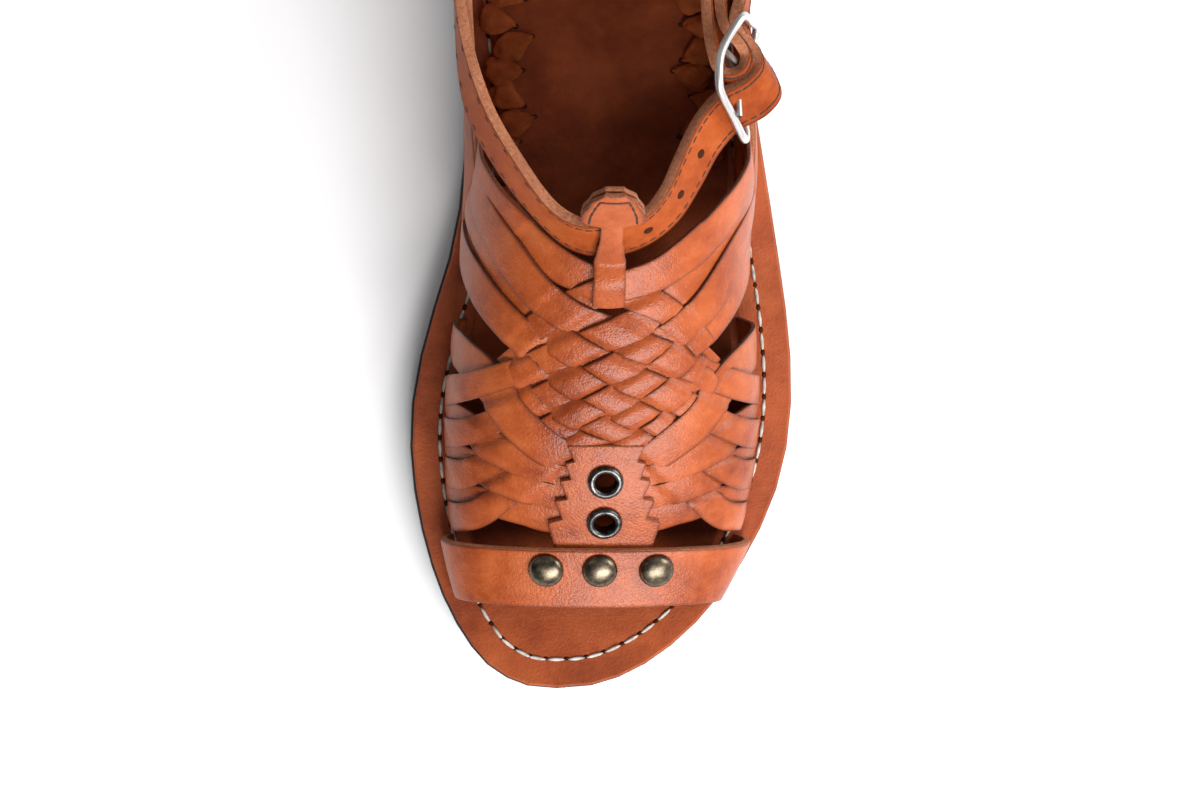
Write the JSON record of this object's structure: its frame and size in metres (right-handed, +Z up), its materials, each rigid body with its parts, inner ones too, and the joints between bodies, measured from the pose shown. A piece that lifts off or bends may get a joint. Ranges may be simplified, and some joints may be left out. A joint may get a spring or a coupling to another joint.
{
  "type": "huarache sandal",
  "caption": "Woven leather huarache for the left foot: plaited strap upper with open toe, closed sides and heel, instep strap with buckle, and a flat rubber sole.",
  "frame": {"origin": "on the ground, under the middle of the part's bounding box", "axes": "+Z up, +Y towards the heel with the toe towards -Y, +X towards the outer side of the foot, where the buckle is"},
  "size_m": [0.1004, 0.2516, 0.0875],
  "materials": {
    "rubber": "matte black rubber",
    "sole_leather": "smooth tan leather",
    "insole_leather": "smooth red-brown leather",
    "upper_leather": "cognac vegetable-tanned leather with rough cut edges",
    "nickel": "satin nickel plate",
    "old_brass": "antique brass",
    "gunmetal": "gunmetal plate"
  },
  "bodies": {
    "root": {"outsole": "rubber", "midsole": "sole_leather", "insole": "insole_leather", "upper": "upper_leather", "toe_band": "upper_leather", "instep_strap": "upper_leather", "buckle": "nickel", "buckle_prong": "nickel", "stud_1": "old_brass", "stud_2": "old_brass", "stud_3": "old_brass", "eyelet_1": "gunmetal", "eyelet_2": "gunmetal"}
  },
  "joints": []
}
